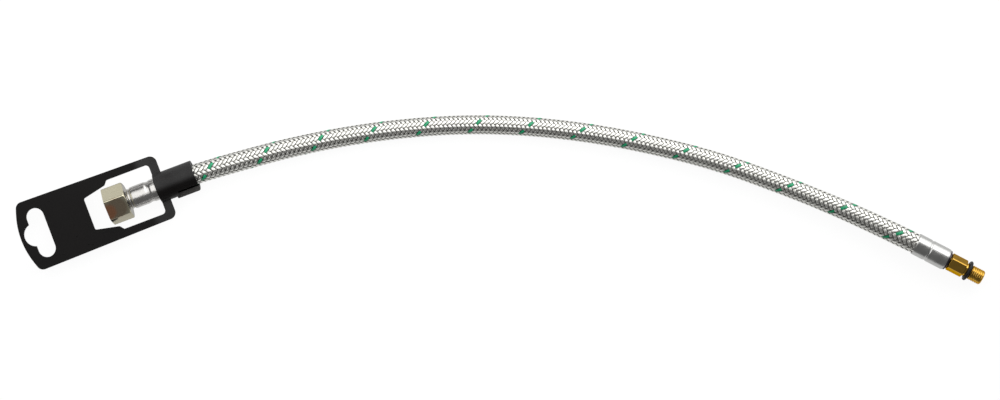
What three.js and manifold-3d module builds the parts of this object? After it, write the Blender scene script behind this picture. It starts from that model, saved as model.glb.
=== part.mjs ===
// Flexible tap connector: a braided hose with a swivel union nut at one end, a screwed brass
// tail at the other, and the moulded hanging tag that is clipped round its nut end.
// Millimetres and degrees, +Z up. The connector lies on the plane z = 0 as it would on a bench.

import * as THREE from 'three';
import { mergeVertices } from 'three/addons/utils/BufferGeometryUtils.js';
import Module from 'manifold-3d';

const wasm = await Module();
wasm.setup();

// Driving dimensions

const SEAT_GAP = 0.3;            // left between pieces that touch on the real connector

const HOSE_RADIUS = 6.4;         // over the braid
const BRAID_WALL = 0.5;
const LINER_WALL = 1.0;
const HOSE_LIFT = 0.1;           // the strands stand this much proud of the braid's mean surface

const WATERWAY_RADIUS = 3.0;     // bore of both tails
const BARB_HEIGHT = 0.4;
const BARB_PITCH = 4.2;
const BARB_COUNT = 5;
const BARB_LEAD = 1.2;           // plain length of spigot ahead of the first barb
const SPIGOT_NOSE = 1.0;

const NUT_ACROSS_FLATS = 22;
const NUT_LENGTH = 14.5;
const NUT_ROLL = 14.6;           // of the upper flat, away from level
const NUT_BACK_WALL = 3.5;
const NUT_THREAD_RADIUS = 7.6;   // crests of the G 3/8 thread
const NUT_MOUTH_CHAMFER = 0.8;
const NUT_FRONT_FACE = 12.2;     // radius where the front chamfer starts
const NUT_BACK_FACE = 10.0;      // radius where the back rounding starts
const NUT_BACK_ROUNDING = 3.1;

const WASHER_THICKNESS = 2.2;
const WASHER_BORE_RADIUS = 4.6;

const FLANGE_THICKNESS = 2.0;
const FLANGE_CHAMFER = 0.3;
const NUT_NECK_RADIUS = 5.0;     // of the tail where the nut turns on it

const FERRULE_WALL = 0.6;
const NUT_FERRULE_LENGTH = 26.3; // with its rolled lip
const LIP_GAP = 0.7;             // from the nut's back face to the rolled lip
const LIP_LENGTH = 1.8;
const LIP_RADIUS = 6.4;
const LIP_GROOVE_RADIUS = 5.9;
const END_WALL = 0.8;
const SHOULDER_LENGTH = 1.9;
const WAIST_DEPTH = 0.3;         // of the crimp
const WAIST_START = 12.6;        // from the lip's face
const WAIST_LENGTH = 3.0;
const BEAD_LENGTH = 4.4;
const BEAD_HEIGHT = 0.12;

const TAP_FERRULE_LENGTH = 24.7;
const TAP_FERRULE_WALL = 0.6;
const TAP_SHOULDER = 1.6;
const GROOVE_FROM_MOUTH = 9.5;   // centre of the crimp groove
const GROOVE_WIDTH = 1.8;
const GROOVE_DEPTH = 0.35;

const TAP_NECK_RADIUS = 4.6;
const TAP_HEX_ACROSS_FLATS = 11;
const TAP_HEX_LENGTH = 11.1;
const TAP_HEX_ROLL = 13;
const TAP_HEX_CHAMFER = 0.6;
const RING_GROOVE_RADIUS = 4.35;
const RING_GROOVE_LENGTH = 3.9;
const RING_SECTION_RADIUS = 1.1;
const TAP_THREAD_RADIUS = 4.9;   // M10 x 1, over the crests
const TAP_THREAD_LENGTH = 9.2;
const TAP_THREAD_CHAMFER = 0.7;

const TAG_THICKNESS = 2.0;
const TAG_NOSE_REACH = 60.5;     // from the nut's mouth to the far end of the plate
const TAG_NOSE_RADIUS = 54;
const TAG_NOSE_HALF_WIDTH = 23.5;
const TAG_CORNER_RADIUS = 4.5;
const TAG_RAIL_WIDTH = 4.7;      // beside the window, at the collar
const TAG_BAR_WIDTH = 5.9;       // the cross bar that carries the collar
const TAG_BAR_FROM_LIP = 19.6;   // from the ferrule's lip to the cross bar
const WINDOW_REACH = 12.7;       // ahead of the nut's mouth
const WINDOW_NOSE_HALF_WIDTH = 10.8;
const WINDOW_SHOULDER_MARGIN = 1.5; // outside the nut's corners, in the narrow part
const WINDOW_MARGIN = 4.3;       // outside the nut's corners, in the wide part
const WINDOW_SHOULDER = 3.1;
const WINDOW_JOG = 2.3;
const WINDOW_CORNER_RADIUS = 2.5;
const WINDOW_JOG_RADIUS = 1.2;
const SLOT_FROM_NOSE = 8.1;
const SLOT_WIDTH = 11.6;
const SLOT_LENGTH = 33.5;
const SLOT_BUMP_RADIUS = 7.6;
const SLOT_BUMP_REACH = 5.6;     // how far the bump stands out of the slot
const COLLAR_WALL = 2.0;
const COLLAR_LENGTH = 26.7;
const COLLAR_RING_LENGTH = 10.8; // closed all round, before the tab starts
const MOUTH_ROOT = 1.8;          // from the tab's end to the end of the mouth
const MOUTH_EDGE = 6.0;          // from the axis to the upper jaw's edge
const LIP_TAB_REACH = 10.9;      // from the axis to the tab's edge

const TAP_END = { x: 488.1, y: -209.9, turn: -48.2 }; // mouth of the tap end's ferrule

// The hose's route between its two ferrules: x, y and height above where it lies on the bench
const ROUTE = [
  [88.2, -1.8, 5.1],
  [128.8, -6.0, 2.3],
  [168.5, -12.7, 0.4],
  [207.0, -22.1, 0],
  [244.7, -34.3, 0],
  [281.1, -49.7, 0],
  [316.3, -68.0, 0],
  [350.5, -89.0, 0],
  [383.8, -112.5, 0],
  [415.7, -139.2, 0],
  [447.1, -167.9, 0.05],
  [470.0, -190.8, 0.4],
];

const ROUND_SEGMENTS = 40;       // of ferrules and tails
const NUT_SEGMENTS = 48;
const RING_SECTION_SEGMENTS = 12;
const HOSE_SIDES = 12;
const HOSE_STEPS = 36;
const CORNER_SEGMENTS = 3;       // an arc gets twice this many chords
const OVERCUT = 1;               // how far a cutting body runs past what it cuts

// Places that follow from the sizes

const radians = THREE.MathUtils.degToRad;
const linerBoreRadius = HOSE_RADIUS - BRAID_WALL - SEAT_GAP - LINER_WALL;
const barbRadius = linerBoreRadius - SEAT_GAP;
const spigotRadius = barbRadius - BARB_HEIGHT;
const ferruleBoreRadius = HOSE_RADIUS + SEAT_GAP;
const nutFerruleRadius = ferruleBoreRadius + FERRULE_WALL;
const tapFerruleRadius = ferruleBoreRadius + TAP_FERRULE_WALL;

const nutCornerRadius = NUT_ACROSS_FLATS / 2 / Math.cos(radians(30));
const nutAxisHeight = nutCornerRadius * Math.cos(radians(30 - NUT_ROLL));
const flangeBack = NUT_LENGTH - NUT_BACK_WALL - SEAT_GAP;
const flangeFront = flangeBack - FLANGE_THICKNESS;
const flangeRadius = NUT_THREAD_RADIUS - SEAT_GAP - 0.1;
const washerBack = flangeFront - SEAT_GAP;
const washerFront = washerBack - WASHER_THICKNESS;
const lipStart = NUT_LENGTH + LIP_GAP;
const nutShoulder = lipStart + LIP_LENGTH + END_WALL;
const nutFerruleEnd = lipStart + NUT_FERRULE_LENGTH;
const nutHoseStart = nutShoulder + SEAT_GAP;

const hoseRestHeight = HOSE_RADIUS + HOSE_LIFT;

// Solid modelling helpers

function solid(geometry) {
  const bare = geometry.clone();
  bare.deleteAttribute('normal');
  bare.deleteAttribute('uv');
  const merged = mergeVertices(bare, 1e-5);
  return new wasm.Manifold(new wasm.Mesh({
    numProp: 3,
    vertProperties: merged.attributes.position.array,
    triVerts: Uint32Array.from(merged.index.array),
  }));
}

function geometryOf(manifold) {
  const { vertProperties, triVerts } = manifold.getMesh();
  const geometry = new THREE.BufferGeometry();
  geometry.setAttribute('position', new THREE.BufferAttribute(vertProperties, 3));
  geometry.setIndex(new THREE.BufferAttribute(triVerts, 1));
  geometry.computeVertexNormals();
  return geometry;
}

// A ring turned about the X axis. The profile is a loop of [x, radius] points that runs
// outwards along the outside, towards +X, and comes back along the bore.
function turned(profile, segments = ROUND_SEGMENTS) {
  const points = profile.map(([x, radius]) => new THREE.Vector2(radius, x));
  points.push(points[0].clone());
  return new THREE.LatheGeometry(points, segments).rotateZ(-Math.PI / 2);
}

function rod(radius, start, end, segments = ROUND_SEGMENTS) {
  const cylinder = new THREE.CylinderGeometry(radius, radius, end - start, segments);
  return cylinder.rotateZ(-Math.PI / 2).translate((start + end) / 2, 0, 0);
}

function block(minimum, maximum) {
  const low = new THREE.Vector3(...minimum);
  const high = new THREE.Vector3(...maximum);
  const size = high.clone().sub(low);
  const centre = low.clone().add(high).multiplyScalar(0.5);
  return new THREE.BoxGeometry(size.x, size.y, size.z).translate(centre.x, centre.y, centre.z);
}

// A hexagonal bar along X whose upper flat leans by roll towards -Y
function hexBar(acrossFlats, start, end, roll) {
  const bar = new THREE.CylinderGeometry(1, 1, end - start, 6);
  bar.scale(acrossFlats / 2 / Math.cos(radians(30)), 1, acrossFlats / 2 / Math.cos(radians(30)));
  bar.rotateY(radians(30));
  bar.rotateZ(-Math.PI / 2);
  bar.rotateX(radians(roll));
  return bar.translate((start + end) / 2, 0, 0);
}

// A closed outline of [x, y, radius] corners, each rounded by an arc of its radius
function roundedOutline(corners) {
  const shape = new THREE.Shape();
  corners.forEach(([x, y, radius], index) => {
    const before = corners.at(index - 1);
    const after = corners[(index + 1) % corners.length];
    const corner = new THREE.Vector2(x, y);
    const back = new THREE.Vector2(before[0] - x, before[1] - y).normalize();
    const ahead = new THREE.Vector2(after[0] - x, after[1] - y).normalize();
    const halfAngle = Math.acos(back.dot(ahead)) / 2;
    const middle = back.clone().add(ahead).normalize();
    const centre = corner.clone().addScaledVector(middle, radius / Math.sin(halfAngle));
    const tangent = radius / Math.tan(halfAngle);
    const first = corner.clone().addScaledVector(back, tangent).sub(centre);
    const last = corner.clone().addScaledVector(ahead, tangent).sub(centre);
    shape.absarc(centre.x, centre.y, radius, first.angle(), last.angle(), back.cross(ahead) > 0);
  });
  shape.closePath();
  return shape;
}

// A plate of the outline, half its thickness to each side of z = 0
function plate(outline, thickness) {
  const options = { depth: thickness, bevelEnabled: false, curveSegments: CORNER_SEGMENTS };
  return new THREE.ExtrudeGeometry(outline, options).translate(0, 0, -thickness / 2);
}

// The barbed spigot of a tail, as profile points from its root at x = root to its nose.
// Its barbs lean away from the nose, so that the liner slides on and won't come back off.
function barbProfile(root, direction) {
  const points = [[root, spigotRadius]];
  for (let barb = 0; barb < BARB_COUNT; barb += 1) {
    const crest = root + direction * (BARB_LEAD + barb * BARB_PITCH);
    points.push([crest, spigotRadius], [crest, barbRadius]);
  }
  const nose = root + direction * (BARB_LEAD + BARB_COUNT * BARB_PITCH);
  points.push([nose - direction * SPIGOT_NOSE, spigotRadius + BARB_HEIGHT / 4]);
  points.push([nose, spigotRadius - BARB_HEIGHT / 2], [nose, WATERWAY_RADIUS]);
  return points;
}

// Materials

const nickel = new THREE.MeshStandardMaterial({ color: 0xb9b29c, roughness: 0.3, metalness: 1 });
const steel = new THREE.MeshStandardMaterial({ color: 0xc4c4c2, roughness: 0.28, metalness: 1 });
const braid = new THREE.MeshStandardMaterial({ color: 0xc9cac6, roughness: 0.35, metalness: 1 });
const brass = new THREE.MeshStandardMaterial({ color: 0xd8ab35, roughness: 0.25, metalness: 1 });
const rubber = new THREE.MeshStandardMaterial({ color: 0x1b1b1c, roughness: 0.7, metalness: 0 });
const fibre = new THREE.MeshStandardMaterial({ color: 0x2f3133, roughness: 0.8, metalness: 0 });
const blackPlastic = new THREE.MeshStandardMaterial({ color: 0x232121, roughness: 0.5, metalness: 0 });

function mesh(name, geometry, material) {
  const piece = new THREE.Mesh(geometry, material);
  piece.name = name;
  return piece;
}

// Swivel union nut: a hexagonal nut, chamfered at its mouth and rounded at its back, with a
// threaded socket and a back wall that turns on the tail's neck behind the flange

function unionNut() {
  const overCorners = nutCornerRadius + 0.5;
  const frontChamfer = (overCorners - NUT_FRONT_FACE) * Math.tan(radians(30));
  const backHole = NUT_NECK_RADIUS + SEAT_GAP;
  const envelope = [
    [0, NUT_THREAD_RADIUS + NUT_MOUTH_CHAMFER],
    [0, NUT_FRONT_FACE],
    [frontChamfer, overCorners],
  ];
  const roundingSteps = 4;
  for (let step = 0; step <= roundingSteps; step += 1) {
    const angle = radians(90 * step / roundingSteps);
    const radius = NUT_BACK_FACE + (overCorners - NUT_BACK_FACE) * Math.cos(angle);
    envelope.push([NUT_LENGTH - NUT_BACK_ROUNDING * (1 - Math.sin(angle)), radius]);
  }
  envelope.push(
    [NUT_LENGTH, backHole],
    [NUT_LENGTH - NUT_BACK_WALL, backHole],
    [NUT_LENGTH - NUT_BACK_WALL, NUT_THREAD_RADIUS],
    [NUT_MOUTH_CHAMFER, NUT_THREAD_RADIUS],
  );
  const bar = hexBar(NUT_ACROSS_FLATS, -OVERCUT, NUT_LENGTH + OVERCUT, NUT_ROLL);
  return geometryOf(solid(bar).intersect(solid(turned(envelope, NUT_SEGMENTS))));
}

// Flat seal washer that lies in the nut's socket against the tail's flange

function sealWasher() {
  return turned([
    [washerFront, WASHER_BORE_RADIUS],
    [washerFront, flangeRadius],
    [washerBack, flangeRadius],
    [washerBack, WASHER_BORE_RADIUS],
  ]);
}

// Nut end's tail: a flange that the nut pulls up, the neck that it turns on, and the spigot

function nutEndTail() {
  const spigot = barbProfile(nutShoulder, 1);
  return turned([
    [flangeFront, WATERWAY_RADIUS],
    [flangeFront, flangeRadius - FLANGE_CHAMFER],
    [flangeFront + FLANGE_CHAMFER, flangeRadius],
    [flangeBack - FLANGE_CHAMFER, flangeRadius],
    [flangeBack, flangeRadius - FLANGE_CHAMFER],
    [flangeBack, NUT_NECK_RADIUS],
    [nutShoulder, NUT_NECK_RADIUS],
    ...spigot,
  ]);
}

// Nut end's ferrule: a drawn steel sleeve with a rolled lip on the neck, a round shoulder,
// and a crimped waist and bead that hold the hose on the spigot

function nutEndFerrule() {
  const holeRadius = NUT_NECK_RADIUS + SEAT_GAP;
  const lipEnd = lipStart + LIP_LENGTH;
  const waist = lipStart + WAIST_START;
  const waistRadius = nutFerruleRadius - WAIST_DEPTH;
  const bead = waist + WAIST_LENGTH;
  const rollRadius = (LIP_RADIUS - LIP_GROOVE_RADIUS) / 2;
  const profile = [
    [lipStart, holeRadius],
    [lipStart, LIP_GROOVE_RADIUS],
    [lipStart + LIP_LENGTH * 0.15, LIP_RADIUS - rollRadius],
    [lipStart + LIP_LENGTH * 0.45, LIP_RADIUS],
    [lipStart + LIP_LENGTH * 0.8, LIP_RADIUS - rollRadius],
    [lipEnd, LIP_GROOVE_RADIUS],
  ];
  const shoulderSteps = 5;
  for (let step = 1; step <= shoulderSteps; step += 1) {
    const angle = radians(90 * step / shoulderSteps);
    const rise = (nutFerruleRadius - LIP_GROOVE_RADIUS) * Math.sin(angle);
    profile.push([lipEnd + SHOULDER_LENGTH * (1 - Math.cos(angle)), LIP_GROOVE_RADIUS + rise]);
  }
  profile.push(
    [waist, nutFerruleRadius],
    [waist + WAIST_LENGTH * 0.35, waistRadius],
    [bead - WAIST_LENGTH * 0.2, waistRadius],
    [bead + BEAD_LENGTH * 0.25, nutFerruleRadius + BEAD_HEIGHT * 0.7],
    [bead + BEAD_LENGTH * 0.5, nutFerruleRadius + BEAD_HEIGHT],
    [bead + BEAD_LENGTH * 0.8, nutFerruleRadius + BEAD_HEIGHT * 0.3],
    [bead + BEAD_LENGTH, nutFerruleRadius],
    [nutFerruleEnd, nutFerruleRadius],
    [nutFerruleEnd, ferruleBoreRadius],
    [nutShoulder, ferruleBoreRadius],
    [nutShoulder, holeRadius],
  );
  return turned(profile);
}

// Tap end's ferrule, along the tap end's own X axis: 0 is its closed end, its mouth is at
// minus its length. One crimp groove and a round shoulder.

function tapEndFerrule() {
  const holeRadius = TAP_NECK_RADIUS + SEAT_GAP;
  const groove = GROOVE_FROM_MOUTH - TAP_FERRULE_LENGTH;
  const profile = [
    [-TAP_FERRULE_LENGTH, ferruleBoreRadius],
    [-TAP_FERRULE_LENGTH, tapFerruleRadius - 0.1],
    [-TAP_FERRULE_LENGTH + 0.4, tapFerruleRadius],
    [groove - GROOVE_WIDTH / 2, tapFerruleRadius],
    [groove - GROOVE_WIDTH / 4, tapFerruleRadius - GROOVE_DEPTH],
    [groove + GROOVE_WIDTH / 4, tapFerruleRadius - GROOVE_DEPTH],
    [groove + GROOVE_WIDTH / 2, tapFerruleRadius],
  ];
  const shoulderSteps = 5;
  for (let step = 0; step <= shoulderSteps; step += 1) {
    const angle = radians(90 * step / shoulderSteps);
    const radius = tapFerruleRadius - TAP_SHOULDER * (1 - Math.cos(angle));
    profile.push([-TAP_SHOULDER * (1 - Math.sin(angle)), radius]);
  }
  profile.push(
    [0, holeRadius],
    [-END_WALL, holeRadius],
    [-END_WALL, ferruleBoreRadius],
  );
  return turned(profile);
}

// Tap end's tail: a brass turning with a hexagon to tighten it by, a groove for the O-ring,
// the M10 x 1 shank that screws into the tap, and a barbed spigot in the hose

const tapHexStart = SEAT_GAP;
const tapHexEnd = tapHexStart + TAP_HEX_LENGTH;
const tapThreadStart = tapHexEnd + RING_GROOVE_LENGTH;
const tapTip = tapThreadStart + TAP_THREAD_LENGTH;

function tapEndTail() {
  const spigot = barbProfile(-END_WALL, -1).reverse();
  const shank = turned([
    ...spigot,
    [-END_WALL, TAP_NECK_RADIUS],
    [tapHexStart, TAP_NECK_RADIUS],
    [tapHexEnd, TAP_NECK_RADIUS],
    [tapHexEnd, RING_GROOVE_RADIUS],
    [tapThreadStart, RING_GROOVE_RADIUS],
    [tapThreadStart + TAP_THREAD_CHAMFER / 2, TAP_THREAD_RADIUS],
    [tapTip - TAP_THREAD_CHAMFER, TAP_THREAD_RADIUS],
    [tapTip, TAP_THREAD_RADIUS - TAP_THREAD_CHAMFER],
    [tapTip, WATERWAY_RADIUS],
  ]);
  const overCorners = TAP_HEX_ACROSS_FLATS / 2 / Math.cos(radians(30)) + 0.2;
  const faceRadius = overCorners - TAP_HEX_CHAMFER / Math.tan(radians(30));
  const coreRadius = (WATERWAY_RADIUS + RING_GROOVE_RADIUS) / 2;
  const envelope = turned([
    [tapHexStart, coreRadius],
    [tapHexStart, faceRadius],
    [tapHexStart + TAP_HEX_CHAMFER, overCorners],
    [tapHexEnd - TAP_HEX_CHAMFER, overCorners],
    [tapHexEnd, faceRadius],
    [tapHexEnd, coreRadius],
  ]);
  const barStart = tapHexStart - OVERCUT;
  const barEnd = tapHexEnd + OVERCUT;
  const bar = hexBar(TAP_HEX_ACROSS_FLATS, barStart, barEnd, TAP_HEX_ROLL);
  const hexagon = solid(bar).intersect(solid(envelope));
  return geometryOf(solid(shank).add(hexagon));
}

// O-ring in the groove, up against the thread's shoulder

function oRing() {
  const centre = tapThreadStart - SEAT_GAP - RING_SECTION_RADIUS;
  const meanRadius = RING_GROOVE_RADIUS + SEAT_GAP + RING_SECTION_RADIUS;
  const ring = new THREE.TorusGeometry(
    meanRadius,
    RING_SECTION_RADIUS,
    RING_SECTION_SEGMENTS,
    ROUND_SEGMENTS,
  );
  return ring.rotateY(Math.PI / 2).translate(centre, 0, 0);
}

// Hanging tag: a flat plate with a peg slot and a window that frames the nut. Its cross bar
// carries a collar that is closed at the ferrule and slit along one side at the hose, with a
// tab on the lower jaw to prise it open by. Its axis is the nut's.

function hangingTag() {
  const barStart = lipStart + TAG_BAR_FROM_LIP;
  const barEnd = barStart + TAG_BAR_WIDTH;
  const windowHalf = nutCornerRadius + WINDOW_MARGIN;
  const shoulderHalf = nutCornerRadius + WINDOW_SHOULDER_MARGIN;
  const barHalf = windowHalf + TAG_RAIL_WIDTH;

  const noseCentre = TAG_NOSE_RADIUS - TAG_NOSE_REACH;
  const noseSide = TAG_NOSE_HALF_WIDTH - 1;
  const noseCorner = noseCentre - Math.sqrt(TAG_NOSE_RADIUS ** 2 - noseSide ** 2);
  const nosePoints = [];
  const noseSteps = 6;
  for (let step = 1; step < noseSteps; step += 1) {
    const y = noseSide * (1 - 2 * step / noseSteps);
    const x = noseCentre - Math.sqrt(TAG_NOSE_RADIUS ** 2 - y ** 2);
    nosePoints.push([x, y, 1]);
  }
  const outline = roundedOutline([
    [barEnd, -barHalf, TAG_CORNER_RADIUS],
    [barEnd, barHalf, TAG_CORNER_RADIUS],
    [noseCorner, TAG_NOSE_HALF_WIDTH, TAG_CORNER_RADIUS],
    ...nosePoints,
    [noseCorner, -TAG_NOSE_HALF_WIDTH, TAG_CORNER_RADIUS],
  ]);

  const windowJog = WINDOW_SHOULDER + WINDOW_JOG;
  const window = roundedOutline([
    [barStart, -windowHalf, WINDOW_CORNER_RADIUS],
    [barStart, windowHalf, WINDOW_CORNER_RADIUS],
    [windowJog, windowHalf, WINDOW_JOG_RADIUS],
    [WINDOW_SHOULDER, shoulderHalf, WINDOW_JOG_RADIUS],
    [-WINDOW_REACH, WINDOW_NOSE_HALF_WIDTH, WINDOW_CORNER_RADIUS / 2],
    [-WINDOW_REACH, -WINDOW_NOSE_HALF_WIDTH, WINDOW_CORNER_RADIUS / 2],
    [WINDOW_SHOULDER, -shoulderHalf, WINDOW_JOG_RADIUS],
    [windowJog, -windowHalf, WINDOW_JOG_RADIUS],
  ]);

  const slotStart = SLOT_FROM_NOSE - TAG_NOSE_REACH;
  const slotEnd = slotStart + SLOT_WIDTH;
  const slotRadius = SLOT_WIDTH / 2 - 0.01;
  const slot = roundedOutline([
    [slotEnd, -SLOT_LENGTH / 2, slotRadius],
    [slotEnd, SLOT_LENGTH / 2, slotRadius],
    [slotStart, SLOT_LENGTH / 2, slotRadius],
    [slotStart, -SLOT_LENGTH / 2, slotRadius],
  ]);
  const cutDepth = TAG_THICKNESS + 2 * OVERCUT;
  const bump = new THREE.CylinderGeometry(SLOT_BUMP_RADIUS, SLOT_BUMP_RADIUS, cutDepth, 32);
  bump.rotateX(Math.PI / 2);
  bump.translate(slotStart - SLOT_BUMP_REACH + SLOT_BUMP_RADIUS, 0, 0);

  const boreRadius = nutFerruleRadius + BEAD_HEIGHT + SEAT_GAP;
  const collarRadius = boreRadius + COLLAR_WALL;
  const collarEnd = barStart + COLLAR_LENGTH;
  const jawStart = barStart + COLLAR_RING_LENGTH;
  const mouthStart = jawStart + MOUTH_ROOT;
  const tabHalf = TAG_THICKNESS / 2;
  const tab = block([jawStart, -LIP_TAB_REACH, -tabHalf], [collarEnd, -boreRadius, tabHalf]);
  const mouthLow = [mouthStart, -LIP_TAB_REACH - OVERCUT, tabHalf];
  const mouthHigh = [collarEnd + OVERCUT, -MOUTH_EDGE, collarRadius + OVERCUT];

  const tag = solid(plate(outline, TAG_THICKNESS))
    .subtract(solid(plate(window, cutDepth)))
    .subtract(solid(plate(slot, cutDepth)))
    .subtract(solid(bump))
    .add(solid(rod(collarRadius, barStart, collarEnd)))
    .add(solid(tab))
    .subtract(solid(rod(boreRadius, barStart - OVERCUT, collarEnd + OVERCUT)))
    .subtract(solid(block(mouthLow, mouthHigh)));
  return geometryOf(tag);
}

// Assembly. The nut end lies along X with the nut's mouth at x = 0, the tap end is turned
// about Z, and the hose runs between their ferrules.

const nutEnd = new THREE.Group();
nutEnd.position.z = nutAxisHeight;
nutEnd.add(
  mesh('union_nut', unionNut(), nickel),
  mesh('seal_washer', sealWasher(), fibre),
  mesh('nut_end_tail', nutEndTail(), steel),
  mesh('nut_end_ferrule', nutEndFerrule(), steel),
  mesh('hanging_tag', hangingTag(), blackPlastic),
);

const tapDirection = new THREE.Vector3(1, 0, 0);
tapDirection.applyAxisAngle(new THREE.Vector3(0, 0, 1), radians(TAP_END.turn));
const tapMouth = new THREE.Vector3(TAP_END.x, TAP_END.y, tapFerruleRadius);
const tapEnd = new THREE.Group();
tapEnd.position.copy(tapMouth).addScaledVector(tapDirection, TAP_FERRULE_LENGTH);
tapEnd.rotation.z = radians(TAP_END.turn);
tapEnd.add(
  mesh('tap_end_ferrule', tapEndFerrule(), steel),
  mesh('tap_end_tail', tapEndTail(), brass),
  mesh('o_ring', oRing(), rubber),
);

// Hose: a rubber liner in a braided sleeve, straight in the ferrules and the collar

const collarEnd = lipStart + TAG_BAR_FROM_LIP + COLLAR_LENGTH;
const hoseEnd = tapEnd.position.clone().addScaledVector(tapDirection, -END_WALL - SEAT_GAP);
const route = new THREE.CatmullRomCurve3([
  new THREE.Vector3(nutHoseStart, 0, nutAxisHeight),
  new THREE.Vector3(nutFerruleEnd, 0, nutAxisHeight),
  new THREE.Vector3(collarEnd, 0, nutAxisHeight),
  ...ROUTE.map(([x, y, lift]) => new THREE.Vector3(x, y, hoseRestHeight + lift)),
  tapMouth,
  hoseEnd,
]);

function hoseTube(outerRadius, wall) {
  const ring = (radius) => {
    const points = [];
    for (let side = 0; side < HOSE_SIDES; side += 1) {
      const angle = 2 * Math.PI * side / HOSE_SIDES;
      points.push(new THREE.Vector2(radius * Math.cos(angle), radius * Math.sin(angle)));
    }
    return points;
  };
  const section = new THREE.Shape(ring(outerRadius));
  section.holes.push(new THREE.Path(ring(outerRadius - wall)));
  return new THREE.ExtrudeGeometry(section, { steps: HOSE_STEPS, extrudePath: route });
}

const hose = new THREE.Group();
hose.add(
  mesh('hose_liner', hoseTube(HOSE_RADIUS - BRAID_WALL - SEAT_GAP, LINER_WALL), rubber),
  mesh('braided_sleeve', hoseTube(HOSE_RADIUS, BRAID_WALL), braid),
);

// The origin is on the bench, under the middle of the box round both ends' fittings

const connector = new THREE.Group();
connector.add(nutEnd, tapEnd, hose);
connector.updateMatrixWorld(true);
const fittings = new THREE.Box3().expandByObject(nutEnd, true).expandByObject(tapEnd, true);
const middle = fittings.getCenter(new THREE.Vector3());
connector.position.set(-middle.x, -middle.y, -fittings.min.z);

export default connector;
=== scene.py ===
"""Flexible tap connector: braided hose, swivel union nut, brass tail and hanging tag."""

import math

import bpy
import numpy as np
from mathutils import Matrix, Vector


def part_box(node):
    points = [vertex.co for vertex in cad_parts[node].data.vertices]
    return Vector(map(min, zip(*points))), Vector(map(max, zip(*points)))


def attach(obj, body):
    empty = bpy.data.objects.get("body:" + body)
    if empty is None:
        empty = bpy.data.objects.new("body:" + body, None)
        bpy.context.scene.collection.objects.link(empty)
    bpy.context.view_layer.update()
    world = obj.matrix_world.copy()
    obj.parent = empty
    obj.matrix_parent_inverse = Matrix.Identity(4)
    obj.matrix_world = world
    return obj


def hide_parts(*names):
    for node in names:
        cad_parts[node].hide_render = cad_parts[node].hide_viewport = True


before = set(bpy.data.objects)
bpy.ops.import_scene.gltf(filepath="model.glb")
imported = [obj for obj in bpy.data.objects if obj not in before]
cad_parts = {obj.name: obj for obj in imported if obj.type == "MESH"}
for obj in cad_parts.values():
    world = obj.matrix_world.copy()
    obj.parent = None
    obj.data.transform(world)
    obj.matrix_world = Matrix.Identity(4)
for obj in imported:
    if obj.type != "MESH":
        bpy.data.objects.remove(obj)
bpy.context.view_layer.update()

# Camera. The connector lies on a white table, and a camera on a stand looks straight down on
# it through a long lens, turned so that the hose runs across the picture.

# the nut's mouth is where the nut end's lengths start, and the washer gives its axis
nut_mouth_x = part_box("union_nut")[0].x
washer_low, washer_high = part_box("seal_washer")
nut_axis_y = (washer_low.y + washer_high.y) / 2
nut_axis_z = (washer_low.z + washer_high.z) / 2

VIEW_MIDDLE = (0.2425, -0.0864)  # from the nut's mouth, on the table
VIEW_WIDTH = 0.6575
VIEW_HEIGHT_OF_SCALE = 0.008     # the level at which the view is that wide
VIEW_TURN = math.radians(-20.7)
LENS = 100                       # its focal length, in millimetres
SENSOR_WIDTH = 36

camera_data = bpy.data.cameras.new("table_camera")
camera_data.lens = LENS
camera_data.sensor_width = SENSOR_WIDTH
camera_data.clip_start = 0.05
camera_data.clip_end = 20
table_camera = bpy.data.objects.new("table_camera", camera_data)
table_camera.rotation_euler = (0, 0, VIEW_TURN)
table_camera.location = (
    nut_mouth_x + VIEW_MIDDLE[0],
    nut_axis_y + VIEW_MIDDLE[1],
    VIEW_HEIGHT_OF_SCALE + VIEW_WIDTH * LENS / SENSOR_WIDTH,
)
bpy.context.collection.objects.link(table_camera)
bpy.context.scene.camera = table_camera
bpy.context.scene.view_settings.view_transform = "Standard"

# Hose line. The hose leaves its nut end ferrule straight, sinks to the table beyond the tag's
# collar, lies there in one long bend, and runs straight again into the tap end ferrule.

HOSE_START = 0.0181              # from the nut's mouth, against the tail's shoulder
NUT_FERRULE_END = 0.0415
COLLAR_END = 0.0615
HOSE_REST_HEIGHT = 0.0065
TAP_FERRULE_MOUTH = (0.4881, -0.2099)
TAP_AXIS_HEIGHT = 0.0073
TAP_TURN = math.radians(-48.2)
TAP_FERRULE_LENGTH = 0.0247
HOSE_END_GAP = 0.0011            # from the ferrule's closed end to the end of the hose
HOSE_ROUTE = [                   # x, y and height above where the hose lies on the table
    (0.0882, -0.0018, 0.0051),
    (0.1288, -0.0060, 0.0023),
    (0.1685, -0.0127, 0.0004),
    (0.2070, -0.0221, 0),
    (0.2447, -0.0343, 0),
    (0.2811, -0.0497, 0),
    (0.3163, -0.0680, 0),
    (0.3505, -0.0890, 0),
    (0.3838, -0.1125, 0),
    (0.4157, -0.1392, 0),
    (0.4471, -0.1679, 0.00005),
    (0.4700, -0.1908, 0.0004),
]
STEPS_BETWEEN_POINTS = 60

tap_direction = Vector((math.cos(TAP_TURN), math.sin(TAP_TURN), 0))
tap_ferrule_mouth = Vector((
    nut_mouth_x + TAP_FERRULE_MOUTH[0],
    nut_axis_y + TAP_FERRULE_MOUTH[1],
    TAP_AXIS_HEIGHT,
))
tap_ferrule_back = tap_ferrule_mouth + tap_direction * TAP_FERRULE_LENGTH

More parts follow.
